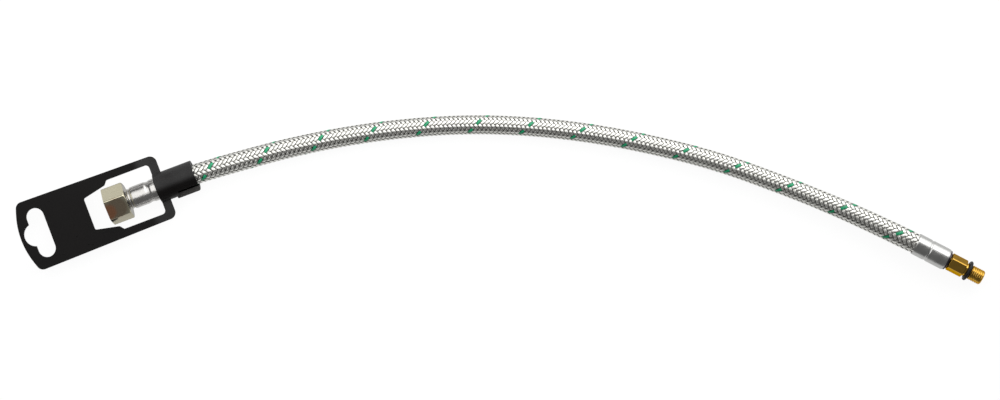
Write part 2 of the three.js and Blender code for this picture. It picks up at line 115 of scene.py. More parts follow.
route_points = [
    (nut_mouth_x + HOSE_START, nut_axis_y, nut_axis_z),
    (nut_mouth_x + NUT_FERRULE_END, nut_axis_y, nut_axis_z),
    (nut_mouth_x + COLLAR_END, nut_axis_y, nut_axis_z),
]
for x, y, lift in HOSE_ROUTE:
    route_points.append((nut_mouth_x + x, nut_axis_y + y, HOSE_REST_HEIGHT + lift))
route_points.append(tuple(tap_ferrule_mouth))
route_points.append(tuple(tap_ferrule_back - tap_direction * HOSE_END_GAP))
route_points = np.array(route_points)


def smooth_line(points, steps):
    """A centripetal Catmull-Rom line through the points, with that many steps between two."""
    padded = np.vstack([2 * points[0] - points[1], points, 2 * points[-1] - points[-2]])
    pieces = []
    for index in range(1, len(padded) - 2):
        before, start, end, after = padded[index - 1:index + 3]
        span_before = np.linalg.norm(start - before) ** 0.5
        span = np.linalg.norm(end - start) ** 0.5
        span_after = np.linalg.norm(after - end) ** 0.5
        leave = (start - before) / span_before - (end - before) / (span_before + span)
        leave = (leave + (end - start) / span) * span
        arrive = (end - start) / span - (after - start) / (span + span_after)
        arrive = (arrive + (after - end) / span_after) * span
        t = np.linspace(0, 1, steps, endpoint=False)[:, None]
        square = -3 * start + 3 * end - 2 * leave - arrive
        cube = 2 * start - 2 * end + leave + arrive
        pieces.append(start + t * leave + t ** 2 * square + t ** 3 * cube)
    pieces.append(points[-1:])
    return np.vstack(pieces)


hose_line = smooth_line(route_points, STEPS_BETWEEN_POINTS)
hose_steps = np.linalg.norm(np.diff(hose_line, axis=0), axis=1)
hose_distance = np.concatenate([[0], np.cumsum(hose_steps)])
hose_length = hose_distance[-1]
hose_heading = np.gradient(hose_line, hose_distance, axis=0)

# Rubber liner: the black tube that carries the water, extruded in one length. It shows only
# as dark points between the strands of the braid.

LINER_RADIUS = 0.0053
LINER_WALL = 0.001
LINER_SIDES = 32
LINER_STEPS = 420
LINER_END_GAP = 0.0002
LINER_BLACK = (0.012, 0.012, 0.013, 1)
LINER_BLOOM = (0.03, 0.03, 0.03, 1)


def along_hose(distance, values):
    """The hose line's points or headings at these distances along it."""
    parts = [np.interp(distance, hose_distance, values[:, axis]) for axis in range(3)]
    return np.stack(parts, -1)


def on_hose(distance, angle, radius):
    """Points round the hose's line: the angle is from straight up, towards the far side."""
    centre = along_hose(distance, hose_line)
    ahead = along_hose(distance, hose_heading)
    ahead /= np.linalg.norm(ahead, axis=-1, keepdims=True)
    side = np.cross([0, 0, 1], ahead)
    side /= np.linalg.norm(side, axis=-1, keepdims=True)
    up = np.cross(ahead, side)
    turn = np.asarray(angle)[..., None]
    return centre + np.asarray(radius)[..., None] * (np.cos(turn) * up + np.sin(turn) * side)


def grid_faces(rows, columns, closed):
    """Four-sided faces of a grid of points, closed round its columns if asked."""
    around = columns if closed else columns - 1
    row = np.arange(rows - 1)[:, None] * columns
    here = np.arange(around)[None, :]
    beside = (here + 1) % columns
    corners = [row + here, row + beside, row + columns + beside, row + columns + here]
    return np.stack(corners, -1).reshape(-1, 4)


def piece_of(name, points, faces, texture_points=None):
    """A smooth-shaded object of these points and four-sided faces."""
    mesh = bpy.data.meshes.new(name)
    mesh.from_pydata(points.reshape(-1, 3).tolist(), [], faces.tolist())
    mesh.polygons.foreach_set("use_smooth", [True] * len(mesh.polygons))
    if texture_points is not None:
        corner_points = np.zeros(len(mesh.loops), dtype=np.int32)
        mesh.loops.foreach_get("vertex_index", corner_points)
        layer = mesh.uv_layers.new(name="lay")
        layer.data.foreach_set("uv", texture_points.reshape(-1, 2)[corner_points].ravel())
    mesh.update()
    piece = bpy.data.objects.new(name, mesh)
    bpy.context.collection.objects.link(piece)
    return piece


class Finish:
    """A node material with one surface shader, and short ways to add nodes to it."""

    def __init__(self, name, **constants):
        self.material = bpy.data.materials.new(name)
        self.material.use_nodes = True
        self.nodes = self.material.node_tree.nodes
        self.links = self.material.node_tree.links
        self.shader = self.nodes["Principled BSDF"]
        for socket, value in constants.items():
            self.shader.inputs[socket.replace("_", " ")].default_value = value

    def add(self, kind, settings=None, **inputs):
        """Adds a node. Each input is a number, a colour or another node's output."""
        node = self.nodes.new(kind)
        for key, value in (settings or {}).items():
            setattr(node, key, value)
        for key, value in inputs.items():
            name = key.replace("_", " ")
            socket = node.inputs[int(key[1:])] if key[1:].isdigit() else node.inputs[name]
            self.set(socket, value)
        return node

    def set(self, socket, value):
        """Links another node's output to the socket, or gives it a number or a colour."""
        if isinstance(value, bpy.types.NodeSocket):
            self.links.new(value, socket)
        else:
            socket.default_value = value

    def math(self, operation, first, second=0.0):
        node = self.add("ShaderNodeMath", {"operation": operation}, _0=first, _1=second)
        return node.outputs[0]

    def place(self):
        return self.add("ShaderNodeTexCoord").outputs["Object"]

    def place_parts(self):
        parts = self.add("ShaderNodeSeparateXYZ", None, Vector=self.place())
        return parts.outputs["X"], parts.outputs["Y"], parts.outputs["Z"]

    def lay(self):
        """A piece's texture place: across and height in a strand, or turn and x if turned."""
        layer = self.add("ShaderNodeUVMap", {"uv_map": "lay"})
        parts = self.add("ShaderNodeSeparateXYZ", None, Vector=layer.outputs["UV"])
        return parts.outputs["X"], parts.outputs["Y"]

    def distance_from(self, point):
        node = self.add(
            "ShaderNodeVectorMath", {"operation": "DISTANCE"}, _0=self.place(), _1=point
        )
        return node.outputs["Value"]

    def noise(self, scale, detail=3.0, roughness=0.55, vector=None):
        at = self.place() if vector is None else vector
        node = self.add(
            "ShaderNodeTexNoise", Vector=at, Scale=scale, Detail=detail, Roughness=roughness
        )
        return node.outputs["Fac"]

    def streaks(self, scales, detail):
        """Noise drawn out along x, with a scale for each axis."""
        drawn_out = self.add("ShaderNodeMapping", None, Vector=self.place())
        drawn_out.inputs["Scale"].default_value = scales
        return self.noise(1, detail, vector=drawn_out.outputs["Vector"])

    def fade(self, value, off, on):
        """0 where the value has reached off, 1 where it has reached on, and smooth between."""
        node = self.add(
            "ShaderNodeMapRange", {"interpolation_type": "SMOOTHSTEP"}, Value=value
        )
        node.inputs["From Min"].default_value = off
        node.inputs["From Max"].default_value = on
        return node.outputs["Result"]

    def between(self, factor, low, high):
        """Spreads a factor from 0 to 1 over low to high."""
        node = self.add("ShaderNodeMapRange", None, Value=factor, To_Min=low, To_Max=high)
        return node.outputs["Result"]

    def blend(self, factor, first, second):
        """Goes from the first colour at 0 to the second at 1."""
        node = self.add("ShaderNodeMix", {"data_type": "RGBA"})
        self.set(node.inputs[0], factor)
        self.set(node.inputs[6], first)
        self.set(node.inputs[7], second)
        return node.outputs[2]

    def bump(self, height, distance, strength, under=None):
        """Relief of that depth in metres, on top of the bump under it."""
        node = self.add(
            "ShaderNodeBump", None, Height=height, Distance=distance, Strength=strength
        )
        if under is not None:
            self.links.new(under, node.inputs["Normal"])
        return node.outputs["Normal"]

    def surface(self, **linked):
        """Sets the shader's sockets and returns the finished material."""
        for socket, value in linked.items():
            self.set(self.shader.inputs[socket.replace("_", " ")], value)
        return self.material


liner_distance = np.linspace(LINER_END_GAP, hose_length - LINER_END_GAP, LINER_STEPS)
liner_angle = np.linspace(0, 2 * math.pi, LINER_SIDES, endpoint=False)
liner_skins = []
for radius in (LINER_RADIUS, LINER_RADIUS - LINER_WALL):
    distances = np.repeat(liner_distance[:, None], LINER_SIDES, axis=1)
    angles = np.repeat(liner_angle[None, :], LINER_STEPS, axis=0)
    liner_skins.append(on_hose(distances, angles, np.full(distances.shape, radius)))
liner_loop = np.concatenate([liner_skins[0], liner_skins[1][::-1], liner_skins[0][:1]])
rubber_liner = piece_of(
    "rubber_liner", liner_loop, grid_faces(len(liner_loop), LINER_SIDES, closed=True)
)

liner_rubber = Finish("liner_rubber", Roughness=0.75)
rubber_bloom = liner_rubber.noise(scale=240)
rubber_liner.data.materials.append(liner_rubber.surface(
    Base_Color=liner_rubber.blend(rubber_bloom, LINER_BLACK, LINER_BLOOM),
    Normal=liner_rubber.bump(rubber_bloom, distance=0.0001, strength=0.5),
))
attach(rubber_liner, "hose_assembly")
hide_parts("hose_liner")

# Braid: 24 strands of fine stainless wire, woven over the liner on a braiding machine. Half
# run each way round, each goes over two and under two, and one strand is dyed green.

STRANDS_EACH_WAY = 12
STRAND_GAP = 2 * math.pi / STRANDS_EACH_WAY
RIBS_ROUND = STRANDS_EACH_WAY // 2   # rows of floats of one way, round the hose
TOP_ROW = math.radians(8)            # the row of floats nearest the top
WEAVE_DEPTH = 0.0004                 # a strand's rise over and fall under the braid's middle
STRAND_COVER = 0.87                  # a strand's width, of the room it has
GREEN_COVER = 0.92
STRAND_SAMPLES = 1080
STRAND_END_GAP = 0.0004
# places across a strand, from edge to edge, and how high its wires lie there
STRAND_EDGES = np.array([-1.0, -0.55, 0.0, 0.55, 1.0])
STRAND_CROWN = np.array([-0.00018, -0.00004, 0.00002, -0.00004, -0.00018])
WIRES_IN_STRAND = 7
CROWN_HALF = 0.38                # from a strand's middle to its crown's edge, of its width, past which it is painted darker as shade
WIRE_DIVE = (0.38, 0.86)         # the heights between which a steel strand comes out of its painted shade
GREEN_DIVE = (0.15, 0.5)
# painted shade on a steel strand's edges and where it dives under the others
WIRE_PAINTED_SHADE = (0.12, 0.115, 0.105, 1)
WIRE_DULL = (0.55, 0.55, 0.52, 1)
WIRE_BRIGHT = (0.76, 0.755, 0.715, 1)
# painted shade on the green strand's edges and where it dives under the others
GREEN_PAINTED_SHADE = (0.001, 0.05, 0.022, 1)
GREEN_DEEP = (0.002, 0.18, 0.075, 1)
GREEN_WORN = (0.006, 0.32, 0.14, 1)
# the rows of floats also wind round the hose a little, in degrees at places along it
TWIST_PLACES = [0.03, 0.08, 0.13, 0.18, 0.22, 0.27, 0.37, 0.43, 0.48]
ROW_TWISTS = [9, 15, 11, 9, 9, 8, 8, 7, 3]

# the strands' turns round the hose at a distance along it, in metres: 34 to 42 mm a turn
LAY = np.polynomial.Polynomial([-1.3728, 23.917, 20.783, -26.277])
# the braid's middle radius in millimetres, at places along it: it is fuller towards the
# fittings than along the middle, and nipped in the ferrules
BRAID_PLACES = [
    0, 0.021, 0.028, 0.06, 0.13, 0.21, 0.36, 0.46, 0.522, 0.530, 0.5335, hose_length,
]
BRAID_RADII = [6.1, 6.1, 6.34, 6.4, 6.15, 6.05, 6.05, 6.08, 6.55, 6.5, 6.2, 6.2]


def braid_strand(number, way, cover):
    """The points and texture points of one strand. Way is 1 for the green strand's, or -1."""
    distance = np.linspace(STRAND_END_GAP, hose_length - STRAND_END_GAP, STRAND_SAMPLES)
    middle_radius = np.interp(distance, BRAID_PLACES, BRAID_RADII) / 1000
    turns = LAY(distance)
    slope = LAY.deriv()(distance) * 2 * math.pi * middle_radius
    lean = np.arctan(slope)
    start = TOP_ROW if way > 0 else TOP_ROW - STRAND_GAP / 2
    angle = way * 2 * math.pi * turns + start + number * STRAND_GAP
    wave = way * np.cos(RIBS_ROUND * (angle - TOP_ROW))
    angle = angle + np.radians(np.interp(distance, TWIST_PLACES, ROW_TWISTS))
    rise = WEAVE_DEPTH * wave
    half_width = cover / 2 * STRAND_GAP * middle_radius * np.cos(lean)
    offset = half_width[:, None] * STRAND_EDGES[None, :]
    along = distance[:, None] - way * offset * np.sin(lean)[:, None]
    round_angle = angle[:, None] + offset * np.cos(lean)[:, None] / middle_radius[:, None]
    radius = (middle_radius + rise)[:, None] + STRAND_CROWN[None, :]
    points = on_hose(np.clip(along, 0, hose_length), round_angle, radius)
    height = np.broadcast_to((wave[:, None] + 1) / 2, offset.shape)
    across = np.broadcast_to((STRAND_EDGES + 1) / 2, offset.shape)
    return points, np.stack([across, height], -1)


def braid_piece(name, strands, cover=STRAND_COVER):
    """One object of several strands, each given as its number and way."""
    points = []
    texture_points = []
    faces = []
    for number, way in strands:
        strand_points, strand_texture = braid_strand(number, way, cover)
        first = sum(len(part) for part in points)
        points.append(strand_points.reshape(-1, 3))
        texture_points.append(strand_texture.reshape(-1, 2))
        strand_faces = grid_faces(STRAND_SAMPLES, len(STRAND_EDGES), closed=False)
        faces.append(strand_faces[:, ::-1] + first)
    return piece_of(name, np.vstack(points), np.vstack(faces), np.vstack(texture_points))


def wire_relief(finish):
    """Height over a strand from the wires that lie side by side in it."""
    across, _ = finish.lay()
    phase = finish.math("MULTIPLY", across, math.pi * WIRES_IN_STRAND)
    return finish.math("ABSOLUTE", finish.math("SINE", phase))


def painted_weave_shade_mask(finish, dive):
    """1 on a strand's crown, and 0 at its edges and where it dives under the others, where
    painted shade darkens it.
    """
    across, height = finish.lay()
    from_middle = finish.math("ABSOLUTE", finish.math("SUBTRACT", across, 0.5))
    inside = finish.fade(from_middle, 0.5, CROWN_HALF)
    return finish.math("MULTIPLY", inside, finish.fade(height, *dive))


one_way = [(number, -1) for number in range(STRANDS_EACH_WAY)]
other_way = [(number, 1) for number in range(1, STRANDS_EACH_WAY)]
braid_one_way = braid_piece("braid_one_way", one_way)
braid_other_way = braid_piece("braid_other_way", other_way)
green_strand = braid_piece("green_strand", [(0, 1)], GREEN_COVER)

braid_wire = Finish("braid_wire", Metallic=1.0, Anisotropic=0.35)
wire_dulling = braid_wire.noise(scale=900, detail=2)
steel_wire = braid_wire.surface(
    Base_Color=braid_wire.blend(
        painted_weave_shade_mask(braid_wire, WIRE_DIVE),
        WIRE_PAINTED_SHADE,
        braid_wire.blend(wire_dulling, WIRE_DULL, WIRE_BRIGHT),
    ),
    Roughness=braid_wire.between(wire_dulling, low=0.28, high=0.44),
    Normal=braid_wire.bump(wire_relief(braid_wire), distance=0.00005, strength=0.45),
)
braid_one_way.data.materials.append(steel_wire)
braid_other_way.data.materials.append(steel_wire)

green_wire = Finish("green_wire", Roughness=0.38, Specular_IOR_Level=0.4)
green_wear = green_wire.noise(scale=700, detail=2)
green_strand.data.materials.append(green_wire.surface(
    Base_Color=green_wire.blend(
        painted_weave_shade_mask(green_wire, GREEN_DIVE),
        GREEN_PAINTED_SHADE,
        green_wire.blend(green_wear, GREEN_DEEP, GREEN_WORN),
    ),
    Normal=green_wire.bump(wire_relief(green_wire), distance=0.00005, strength=0.4),
))

for strands in (braid_one_way, braid_other_way, green_strand):
    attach(strands, "hose_assembly")
    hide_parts("braided_sleeve")

# Union nut: hexagonal, turned and milled from brass bar, then nickel-plated. It turns freely
# on the tail's neck, and its G 3/8 socket screws on to a valve. Its upper flat is painted
# brown as painted shade, with a reddish patch that is partly tarnish and partly painted shade.

MM = 0.001
TURNED_SIDES = 192
EASING_POINTS = 6
NEARLY_STRAIGHT = 0.9995         # the cosine past which a corner isn't eased
THREAD_FLANK = 2.2               # the steepness of a thread's flanks: more makes broader crests


def eased(profile):
    """Rounds a closed profile of (x, radius, easing) corners, all in millimetres."""
    smooth = []
    for index, (x, radius, easing) in enumerate(profile):
        corner = np.array([x, radius], float)
        before = np.array(profile[index - 1][:2], float)
        after = np.array(profile[(index + 1) % len(profile)][:2], float)
        back = (before - corner) / np.linalg.norm(before - corner)
        ahead = (after - corner) / np.linalg.norm(after - corner)
        if easing == 0 or abs(np.dot(back, ahead)) > NEARLY_STRAIGHT:
            smooth.append(corner)
            continue
        for t in np.linspace(0, 1, EASING_POINTS):
            smooth.append(corner + back * easing * (1 - t) ** 2 + ahead * easing * t ** 2)
    return np.array(smooth)


def filled_in(profile, step):
    """The same closed profile with points no further apart than the step."""
    filled = []
    for index, start in enumerate(profile):
        end = profile[(index + 1) % len(profile)]
        count = max(1, math.ceil(np.linalg.norm(end - start) / step))
        for part in range(count):
            filled.append(start + (end - start) * part / count)
    return np.array(filled)


def turned_piece(name, profile, place, heading, shape=None, sides=TURNED_SIDES):
    """A turned ring about the heading through the place. Shape changes each point's radius."""
    angle = np.linspace(0, 2 * math.pi, sides, endpoint=False)[None, :]
    x = np.repeat(profile[:, :1], sides, axis=1)
    radius = np.repeat(profile[:, 1:], sides, axis=1)
    angle = np.repeat(angle, len(profile), axis=0)
    if shape is not None:
        radius = shape(x, radius, angle)
    side = np.cross([0, 0, 1], heading)
    local = (
        x[..., None] * np.array(heading)
        + (radius * np.sin(angle))[..., None] * side
        + (radius * np.cos(angle))[..., None] * np.array([0, 0, 1])
    )
    points = np.concatenate([local, local[:1]]) * MM + np.array(place)
    lay = np.stack([angle / (2 * math.pi), x], -1)
    lay = np.concatenate([lay, lay[:1]])
    faces = grid_faces(len(points), sides, closed=True)
    return piece_of(name, points, faces, lay)


def hexagon_radius(angle, across_flats, roll):
    """The hexagon's radius at an angle from straight up, its upper flat leaning by roll."""
    turned = np.mod(angle + roll + math.pi / 6, math.pi / 3) - math.pi / 6
    return across_flats / 2 / np.cos(turned)


def lesser(first, second, softness):
    """The lesser of the two, with a rounded edge where they meet."""
    blend = np.clip(0.5 + 0.5 * (second - first) / softness, 0, 1)
    return second + (first - second) * blend - softness * blend * (1 - blend)


def thread_depth(x, angle, pitch):
    """0 at a right-handed thread's broad crests, and 1 at its roots."""
    turn = np.mod(x / pitch + angle / (2 * math.pi), 1)
    return np.clip((np.abs(turn * 2 - 1) - 1) * THREAD_FLANK + 1, 0, 1)


NUT_ACROSS_FLATS = 22
NUT_ROLL = math.radians(14.6)
NUT_LENGTH = 14.5
NUT_CORNER_RADIUS = 13.3
NUT_DOME = 2.5                   # the rounding of its back edge
NUT_EDGE_SOFTNESS = 0.35
NUT_BORE = 5.3
NUT_OUTSIDE = 8.45               # the radius past which the flats are milled
SOCKET_RADIUS = 7.6
SOCKET_DEPTH = 11
SOCKET_WALL = (7.4, 8.2)         # the radii and the lengths between which the thread is cut
SOCKET_THREAD = (0.4, 9)
NUT_THREAD_PITCH = 1.337
NUT_THREAD_DEPTH = 0.7
NUT_MESH_STEP = 0.22
NUT_SIDES = 288
# a brown patch painted on the upper flat as shade, and a reddish patch that is partly tarnish
# and partly painted shade
FLAT_SHADE_PLACE = (0.007, -0.003, 0.0105)       # from the middle of the nut's mouth, in metres
FLAT_SHADE_FADE = (0.0078, 0.0055)               # the distances between which it fades in
TARNISH_AND_SHADE_PLACE = (0.001, -0.0035, 0.0095)
TARNISH_AND_SHADE_FADE = (0.0068, 0.0035)
TARNISH_AND_SHADE_RAGGED = 0.002
NICKEL_GREY = (0.47, 0.44, 0.325, 1)
NICKEL_BRIGHT = (0.59, 0.555, 0.42, 1)
FLAT_SHADE_BROWN = (0.38, 0.31, 0.22, 1)
TARNISH_AND_SHADE_RED = (0.52, 0.25, 0.14, 1)
nut_place = (nut_mouth_x, nut_axis_y, nut_axis_z)
nut_heading = (1, 0, 0)

dome_start = NUT_LENGTH - NUT_DOME
dome_middle = NUT_CORNER_RADIUS - NUT_DOME
nut_profile = [
    (0, 8.3, 0.15),
    (0, 12.2, 0.15),
    (0.45, NUT_CORNER_RADIUS, 0),
    (dome_start, NUT_CORNER_RADIUS, 0),
]
for step in range(1, 7):
    turn = math.radians(15 * step)
    nut_profile.append((
        dome_start + NUT_DOME * math.sin(turn), dome_middle + NUT_DOME * math.cos(turn), 0
    ))
nut_profile += [
    (NUT_LENGTH, NUT_BORE, 0.2),
    (SOCKET_DEPTH, NUT_BORE, 0),
    (SOCKET_DEPTH, SOCKET_RADIUS, 0),
    (0.8, SOCKET_RADIUS, 0.1),
]


def nut_shape(x, radius, angle):
    """Mills the six flats and cuts the socket's thread."""
    flats = hexagon_radius(angle, NUT_ACROSS_FLATS, NUT_ROLL)
    outside = radius > NUT_OUTSIDE
    shaped = np.where(outside, lesser(radius, flats, NUT_EDGE_SOFTNESS), radius)
    on_wall = (radius > SOCKET_WALL[0]) & (radius < SOCKET_WALL[1])
    in_socket = on_wall & (x > SOCKET_THREAD[0]) & (x < SOCKET_THREAD[1])
    cut = thread_depth(x, angle, NUT_THREAD_PITCH) * NUT_THREAD_DEPTH
    return np.where(in_socket, radius + cut, shaped)


union_nut_piece = turned_piece(
    "swivel_union_nut",
    filled_in(eased(nut_profile), NUT_MESH_STEP),
    nut_place,
    nut_heading,
    nut_shape,
    NUT_SIDES,
)

nut_plating = Finish("nut_plating", Metallic=1.0)
milling_lines = nut_plating.streaks(scales=(300, 4000, 4000), detail=2)
plating_cloud = nut_plating.noise(scale=160, detail=4)
# painted shade on the upper flat, and tarnish that darkens it further as painted shade
flat_shade_distance = nut_plating.distance_from(Vector(nut_place) + Vector(FLAT_SHADE_PLACE))
nut_flat_shade = nut_plating.fade(flat_shade_distance, *FLAT_SHADE_FADE)
tarnish_and_shade_distance = nut_plating.distance_from(Vector(nut_place) + Vector(TARNISH_AND_SHADE_PLACE))
ragged_distance = nut_plating.math(
    "ADD",
    tarnish_and_shade_distance,
    nut_plating.between(plating_cloud, low=-TARNISH_AND_SHADE_RAGGED, high=TARNISH_AND_SHADE_RAGGED),
)
tarnish_and_shade = nut_plating.fade(ragged_distance, *TARNISH_AND_SHADE_FADE)
clean_nickel = nut_plating.blend(plating_cloud, NICKEL_GREY, NICKEL_BRIGHT)
shaded_nickel = nut_plating.blend(nut_flat_shade, clean_nickel, FLAT_SHADE_BROWN)
union_nut_piece.data.materials.append(nut_plating.surface(
    Base_Color=nut_plating.blend(tarnish_and_shade, shaded_nickel, TARNISH_AND_SHADE_RED),
    Specular_Tint=(0.5, 0.5, 0.52, 1),
    Roughness=nut_plating.between(plating_cloud, low=0.10, high=0.20),
    Normal=nut_plating.bump(milling_lines, distance=0.00001, strength=0.5),
))
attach(union_nut_piece, "swivel_nut")
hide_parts("union_nut")

# Seal washer: a flat ring punched from dark fibre sheet. It lies loose in the nut's socket, on
# the tail's flange, and the nut squeezes it against the end of the valve.

FIBRE_DARK = (0.03, 0.033, 0.036, 1)
FIBRE_PALE = (0.09, 0.095, 0.10, 1)

washer_fibre = Finish("washer_fibre", Roughness=0.85)
fibre_grain = washer_fibre.noise(scale=1800, detail=4)
washer_material = washer_fibre.surface(
    Base_Color=washer_fibre.blend(fibre_grain, FIBRE_DARK, FIBRE_PALE),
    Normal=washer_fibre.bump(fibre_grain, distance=0.00006, strength=0.6),
)
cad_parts["seal_washer"].data.materials.clear()
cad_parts["seal_washer"].data.materials.append(washer_material)

# Nut end tail: turned from steel bar, with a flange under the washer, the neck that the nut
# turns on and a barbed spigot in the hose. Only the flange, the neck and the bore show.

SPIGOT_BORE = 3.0
SPIGOT_RADIUS = 3.9
BARBS = 5
BARB_START = 19
BARB_PITCH = 4.2
BARB_LENGTH = 4.1
BARB_RADIUS = 4.28
NUT_TAIL_SIDES = 96
NUT_TAIL_MESH_STEP = 0.8
STEEL_DARK = (0.33, 0.322, 0.31, 1)
STEEL_LIGHT = (0.50, 0.49, 0.475, 1)

nut_tail_profile = [
    (8.7, SPIGOT_BORE, 0.2),
    (8.7, 7.2, 0.2),
    (10.7, 7.2, 0.2),
    (10.7, 5.0, 0.3),
    (18.0, 5.0, 0.1),
    (18.0, SPIGOT_RADIUS, 0.1),
    (18.9, SPIGOT_RADIUS, 0.1),
]
for barb in range(BARBS):
    crest = BARB_START + barb * BARB_PITCH
    nut_tail_profile.append((crest + 0.05, BARB_RADIUS, 0.05))
    nut_tail_profile.append((crest + BARB_LENGTH, SPIGOT_RADIUS, 0.05))
nut_tail_profile += [(40.0, 3.7, 0.1), (40.0, SPIGOT_BORE, 0.1)]
nut_tail_piece = turned_piece(
    "nut_tail",
    filled_in(eased(nut_tail_profile), NUT_TAIL_MESH_STEP),
    nut_place,
    nut_heading,
    None,
    NUT_TAIL_SIDES,
)

drawn_steel = Finish("drawn_steel", Metallic=1.0)
steel_cloud = drawn_steel.noise(scale=220, detail=4)
draw_lines = drawn_steel.streaks(scales=(160, 3000, 3000), detail=3)
press_marks = drawn_steel.noise(scale=750, detail=3)
line_relief = drawn_steel.bump(draw_lines, distance=0.00002, strength=0.5)
nut_end_steel = drawn_steel.surface(
    Base_Color=drawn_steel.blend(steel_cloud, STEEL_DARK, STEEL_LIGHT),
    Roughness=drawn_steel.between(draw_lines, low=0.2, high=0.34),
    Normal=drawn_steel.bump(press_marks, distance=0.00018, strength=0.7, under=line_relief),
)
nut_tail_piece.data.materials.append(nut_end_steel)
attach(nut_tail_piece, "hose_assembly")
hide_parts("nut_end_tail")

# Nut end ferrule: a thin sleeve drawn from stainless sheet, with a rolled lip, and crimped on
# the hose by segmented jaws, which leave a waist, a bead and faint flats round it.

NUT_FERRULE_RADIUS = 7.3
SLEEVE_BORE = 6.72
SLEEVE_OUTSIDE = 6.9             # the radius past which the jaws have marked the sleeve
SHOULDER_START = 17.1            # the round shoulder between the lip and the sleeve
SHOULDER_LENGTH = 1.6
LIP_NECK_RADIUS = 6.1
CRIMP_JAWS = 8
NUT_CRIMP_DEPTH = 0.05
FERRULE_MESH_STEP = 0.5

shoulder_rise = NUT_FERRULE_RADIUS - LIP_NECK_RADIUS
nut_ferrule_profile = [
    (15.2, 5.3, 0.1),
    (15.2, LIP_NECK_RADIUS, 0.2),
    (15.5, 6.75, 0.35),
    (16.5, 6.75, 0.35),
    (16.8, LIP_NECK_RADIUS, 0.2),
]
for step in range(1, 9):
    turn = math.radians(11.25 * step)
    nut_ferrule_profile.append((
        SHOULDER_START + SHOULDER_LENGTH * (1 - math.cos(turn)),
        LIP_NECK_RADIUS + shoulder_rise * math.sin(turn),
        0,
    ))
nut_ferrule_profile += [
    (27.6, NUT_FERRULE_RADIUS, 0.4),
    (28.7, NUT_FERRULE_RADIUS - 0.45, 0.4),
    (30.0, NUT_FERRULE_RADIUS - 0.45, 0.4),
    (31.4, NUT_FERRULE_RADIUS + 0.08, 0.5),
    (33.2, NUT_FERRULE_RADIUS + 0.12, 0.6),
    (35.2, NUT_FERRULE_RADIUS - 0.04, 0.5),
    (41.2, NUT_FERRULE_RADIUS, 0.1),
    (41.5, NUT_FERRULE_RADIUS - 0.25, 0.1),
    (41.5, SLEEVE_BORE, 0.1),
    (18.0, SLEEVE_BORE, 0.3),
    (18.0, 5.3, 0.1),
]


def crimped(radius, angle, depth, shift=0.0):
    """The radius under the crimping jaws, which leave that depth of flat round the sleeve."""
    jaw = np.abs(np.mod(angle * CRIMP_JAWS / (2 * math.pi) + shift, 1) - 0.5) * 2
    return radius - depth * (1 - jaw) ** 2


def nut_ferrule_shape(x, radius, angle):
    on_sleeve = (radius > SLEEVE_OUTSIDE) & (x > 19)
    return np.where(on_sleeve, crimped(radius, angle, NUT_CRIMP_DEPTH, 0.25), radius)


nut_ferrule_piece = turned_piece(
    "nut_ferrule",
    filled_in(eased(nut_ferrule_profile), FERRULE_MESH_STEP),
    nut_place,
    nut_heading,
    nut_ferrule_shape,
)
nut_ferrule_piece.data.materials.append(nut_end_steel)
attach(nut_ferrule_piece, "hose_assembly")
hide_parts("nut_end_ferrule")

# Tap end ferrule: the same thin stainless sleeve, a little shorter, with one crimp groove. Its
# turned-in end against the tail's hexagon is painted dark, as painted shade.

TAP_FERRULE_RADIUS = 7.3
GROOVE_DEPTH = 0.35
TAP_CRIMP_DEPTH = 0.04
CLOSED_END_SHADE_FADE = (-2.1, -1.7)   # along the ferrule, from its closed end, between which painted shade darkens it
CLOSED_END_PAINTED_SHADE = (0.05, 0.045, 0.055, 1)
SLEEVE_GREY = (0.38, 0.38, 0.37, 1)
SLEEVE_BRIGHT = (0.48, 0.48, 0.47, 1)

tap_ferrule_profile = [
    (-24.7, SLEEVE_BORE, 0.1),
    (-24.7, TAP_FERRULE_RADIUS - 0.15, 0.1),
    (-24.3, TAP_FERRULE_RADIUS, 0.2),
    (-16.1, TAP_FERRULE_RADIUS, 0.3),
    (-15.6, TAP_FERRULE_RADIUS - GROOVE_DEPTH, 0.2),
    (-14.8, TAP_FERRULE_RADIUS - GROOVE_DEPTH, 0.2),
    (-14.3, TAP_FERRULE_RADIUS, 0.3),
    (-2.8, TAP_FERRULE_RADIUS, 0.2),
    (-1.9, TAP_FERRULE_RADIUS - 0.25, 0.3),
    (-0.4, 5.8, 0.3),
    (0, 5.2, 0.15),
    (0, 4.9, 0.1),
    (-0.8, 4.9, 0.1),
    (-0.8, SLEEVE_BORE, 0.1),
]


def tap_ferrule_shape(x, radius, angle):
    on_sleeve = (radius > SLEEVE_OUTSIDE) & (x < -3)
    return np.where(on_sleeve, crimped(radius, angle, TAP_CRIMP_DEPTH), radius)


tap_ferrule_piece = turned_piece(
    "tap_ferrule",
    filled_in(eased(tap_ferrule_profile), FERRULE_MESH_STEP),
    tap_ferrule_back,
    tap_direction,
    tap_ferrule_shape,
)
tap_steel = Finish("tap_steel", Metallic=1.0)
tap_steel_cloud = tap_steel.noise(scale=180, detail=4)
tap_steel_marks = tap_steel.noise(scale=2200, detail=2)
_, tap_steel_x = tap_steel.lay()
# painted shade darkens the sleeve's turned-in end
tap_ferrule_piece.data.materials.append(tap_steel.surface(
    Base_Color=tap_steel.blend(
        tap_steel.fade(tap_steel_x, *CLOSED_END_SHADE_FADE),
        tap_steel.blend(tap_steel_cloud, SLEEVE_GREY, SLEEVE_BRIGHT),
        CLOSED_END_PAINTED_SHADE,
    ),
    Roughness=tap_steel.between(tap_steel_cloud, low=0.24, high=0.36),
    Normal=tap_steel.bump(tap_steel_marks, distance=0.00001, strength=0.4),
))
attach(tap_ferrule_piece, "hose_assembly")
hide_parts("tap_end_ferrule")
